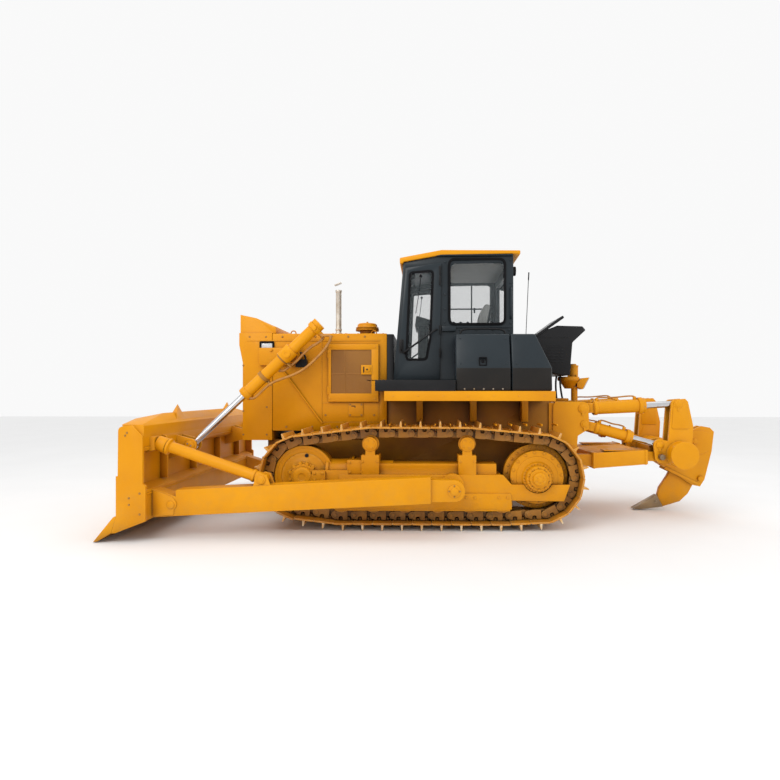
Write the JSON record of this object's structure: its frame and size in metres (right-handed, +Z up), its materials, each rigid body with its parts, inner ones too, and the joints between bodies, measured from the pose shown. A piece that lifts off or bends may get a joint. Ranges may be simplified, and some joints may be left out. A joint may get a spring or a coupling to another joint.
{
  "type": "crawler dozer",
  "caption": "Crawler dozer with a hydraulically lifted straight blade, an enclosed cab with doors, fixed tracks and a rear single-shank ripper that lifts and tilts",
  "frame": {"origin": "on the ground, at the middle of the machine's bounding box", "axes": "-X is forward, towards the blade; +X is back, towards the ripper; -Y is the machine's left side; +Z is up"},
  "size_m": [7.378, 3.725, 3.345],
  "materials": {
    "yellow_paint": "amber gloss paint, worn at edges",
    "slate_paint": "slate grey satin paint",
    "black_paint": "black semi-matt paint",
    "steel": "bare worn steel",
    "chrome": "hard chrome piston rod",
    "seat_vinyl": "dark seat vinyl",
    "glass": "clear safety glass, faint green"
  },
  "bodies": {
    "machine": {"air_cleaner": "yellow_paint", "cab_floor": "black_paint", "cab_roof": "yellow_paint", "cab_shell": "slate_paint", "engine_block": "black_paint", "exhaust_pipe": "steel", "final_drive_left": "yellow_paint", "final_drive_right": "yellow_paint", "fuel_tank": "slate_paint", "hood": "yellow_paint", "hull": "yellow_paint", "idler_left": "yellow_paint", "idler_right": "yellow_paint", "platform": "yellow_paint", "radiator_guard": "yellow_paint", "rear_housing": "black_paint", "rear_window": "glass", "ripper_bracket": "yellow_paint", "seat": "seat_vinyl", "side_box_left": "slate_paint", "side_box_right": "slate_paint", "side_window_left": "glass", "side_window_right": "glass", "track_frame_left": "yellow_paint", "track_frame_right": "yellow_paint", "track_left": "yellow_paint", "track_right": "yellow_paint", "windshield": "glass"},
    "blade": {"blade": "yellow_paint", "cutting_edge": "yellow_paint", "push_arm_left": "yellow_paint", "push_arm_right": "yellow_paint", "brace_tube_left": "yellow_paint", "tilt_cylinder_right": "yellow_paint"},
    "ripper_arm": {"ripper_arm": "yellow_paint"},
    "ripper_shaft": {"ripper_pivot_shaft": "steel"},
    "ripper_beam": {"ripper_cross_beam": "yellow_paint", "ripper_shank": "yellow_paint", "ripper_point": "steel"},
    "lift_barrel_left": {"lift_barrel_left": "yellow_paint"},
    "lift_rod_left": {"lift_rod_left": "chrome"},
    "ripper_tilt_barrel_left": {"ripper_tilt_barrel_left": "yellow_paint"},
    "ripper_tilt_rod_left": {"ripper_tilt_rod_left": "chrome"},
    "ripper_lift_barrel_left": {"ripper_lift_barrel_left": "yellow_paint"},
    "ripper_lift_rod_left": {"ripper_lift_rod_left": "chrome"},
    "cab_door_left": {"cab_door_left": "slate_paint", "door_glass_left": "glass"},
    "engine_door_left": {"engine_door_left": "yellow_paint"},
    "lift_barrel_right": {"lift_barrel_right": "yellow_paint"},
    "lift_rod_right": {"lift_rod_right": "chrome"},
    "ripper_tilt_barrel_right": {"ripper_tilt_barrel_right": "yellow_paint"},
    "ripper_tilt_rod_right": {"ripper_tilt_rod_right": "chrome"},
    "ripper_lift_barrel_right": {"ripper_lift_barrel_right": "yellow_paint"},
    "ripper_lift_rod_right": {"ripper_lift_rod_right": "chrome"},
    "cab_door_right": {"cab_door_right": "slate_paint", "door_glass_right": "glass"},
    "engine_door_right": {"engine_door_right": "yellow_paint"}
  },
  "joints": [
    {"name": "blade_lift", "type": "hinge", "parent": "machine", "child": "blade", "pos_m": [0.132, 0, 0.522], "axis": [0, 1, 0], "range_deg": [-6.5, 14]},
    {"name": "lift_yoke_left", "type": "hinge", "parent": "machine", "child": "lift_barrel_left", "pos_m": [-1.8474, -0.95, 2.0514], "axis": [0, 1, 0], "range_deg": [-9.5, 20.2]},
    {"name": "lift_stroke_left", "type": "slide", "parent": "lift_barrel_left", "child": "lift_rod_left", "axis": [-0.7254, 0, -0.6884], "range_m": [-0.6, 0.28]},
    {"name": "lift_yoke_right", "type": "hinge", "parent": "machine", "child": "lift_barrel_right", "pos_m": [-1.8474, 0.95, 2.0514], "axis": [0, 1, 0], "range_deg": [-9.5, 20.2]},
    {"name": "lift_stroke_right", "type": "slide", "parent": "lift_barrel_right", "child": "lift_rod_right", "axis": [-0.7254, 0, -0.6884], "range_m": [-0.6, 0.28]},
    {"name": "ripper_lift", "type": "hinge", "parent": "machine", "child": "ripper_arm", "pos_m": [1.582, 0, 0.722], "axis": [0, -1, 0], "range_deg": [-15, 18]},
    {"name": "ripper_level", "type": "hinge", "parent": "ripper_arm", "child": "ripper_shaft", "pos_m": [2.772, 0, 0.778], "axis": [0, -1, 0], "range_deg": [-18.5, 15.5]},
    {"name": "ripper_tilt", "type": "hinge", "parent": "ripper_shaft", "child": "ripper_beam", "pos_m": [2.772, 0, 0.778], "axis": [0, -1, 0], "range_deg": [-12, 14]},
    {"name": "ripper_tilt_pivot_left", "type": "hinge", "parent": "machine", "child": "ripper_tilt_barrel_left", "pos_m": [1.797, -0.5, 1.384], "axis": [0, -1, 0], "range_deg": [-15.5, 18.5]},
    {"name": "ripper_tilt_stroke_left", "type": "slide", "parent": "ripper_tilt_barrel_left", "child": "ripper_tilt_rod_left", "axis": [0.9989, 0, 0.047], "range_m": [-0.17, 0.145]},
    {"name": "ripper_lift_pivot_left", "type": "hinge", "parent": "machine", "child": "ripper_lift_barrel_left", "pos_m": [1.817, -0.5, 1.185], "axis": [0, -1, 0], "range_deg": [-18, 21.5]},
    {"name": "ripper_lift_stroke_left", "type": "slide", "parent": "ripper_lift_barrel_left", "child": "ripper_lift_rod_left", "axis": [0.964, 0, -0.2661], "range_m": [-0.115, 0.096]},
    {"name": "ripper_tilt_pivot_right", "type": "hinge", "parent": "machine", "child": "ripper_tilt_barrel_right", "pos_m": [1.797, 0.5, 1.384], "axis": [0, -1, 0], "range_deg": [-15.5, 18.5]},
    {"name": "ripper_tilt_stroke_right", "type": "slide", "parent": "ripper_tilt_barrel_right", "child": "ripper_tilt_rod_right", "axis": [0.9989, 0, 0.047], "range_m": [-0.17, 0.145]},
    {"name": "ripper_lift_pivot_right", "type": "hinge", "parent": "machine", "child": "ripper_lift_barrel_right", "pos_m": [1.817, 0.5, 1.185], "axis": [0, -1, 0], "range_deg": [-18, 21.5]},
    {"name": "ripper_lift_stroke_right", "type": "slide", "parent": "ripper_lift_barrel_right", "child": "ripper_lift_rod_right", "axis": [0.964, 0, -0.2661], "range_m": [-0.115, 0.096]},
    {"name": "cab_door_left", "type": "hinge", "parent": "machine", "child": "cab_door_left", "pos_m": [0.012, -0.785, 1.745], "axis": [0, 0, 1], "range_deg": [0, 90]},
    {"name": "engine_door_left", "type": "hinge", "parent": "machine", "child": "engine_door_left", "pos_m": [-1.413, -0.625, 1.465], "axis": [0, 0, -1], "range_deg": [0, 60]},
    {"name": "cab_door_right", "type": "hinge", "parent": "machine", "child": "cab_door_right", "pos_m": [0.012, 0.785, 1.745], "axis": [0, 0, -1], "range_deg": [0, 90]},
    {"name": "engine_door_right", "type": "hinge", "parent": "machine", "child": "engine_door_right", "pos_m": [-1.413, 0.625, 1.465], "axis": [0, 0, 1], "range_deg": [0, 60]}
  ],
  "couplings": [
    {"joint": "lift_yoke_left", "follows": "blade_lift", "ratio": 1.4166},
    {"joint": "lift_stroke_left", "follows": "blade_lift", "m_per_rad": -2.3792},
    {"joint": "lift_yoke_right", "follows": "blade_lift", "ratio": 1.4166},
    {"joint": "lift_stroke_right", "follows": "blade_lift", "m_per_rad": -2.3792},
    {"joint": "ripper_level", "follows": "ripper_lift", "ratio": -1},
    {"joint": "ripper_tilt_pivot_left", "follows": "ripper_lift", "ratio": 1},
    {"joint": "ripper_tilt_stroke_left", "follows": "ripper_tilt", "m_per_rad": -0.66},
    {"joint": "ripper_lift_pivot_left", "follows": "ripper_lift", "ratio": 1.1671},
    {"joint": "ripper_lift_stroke_left", "follows": "ripper_lift", "m_per_rad": -0.3553},
    {"joint": "ripper_tilt_pivot_right", "follows": "ripper_lift", "ratio": 1},
    {"joint": "ripper_tilt_stroke_right", "follows": "ripper_tilt", "m_per_rad": -0.66},
    {"joint": "ripper_lift_pivot_right", "follows": "ripper_lift", "ratio": 1.1671},
    {"joint": "ripper_lift_stroke_right", "follows": "ripper_lift", "m_per_rad": -0.3553}
  ]
}
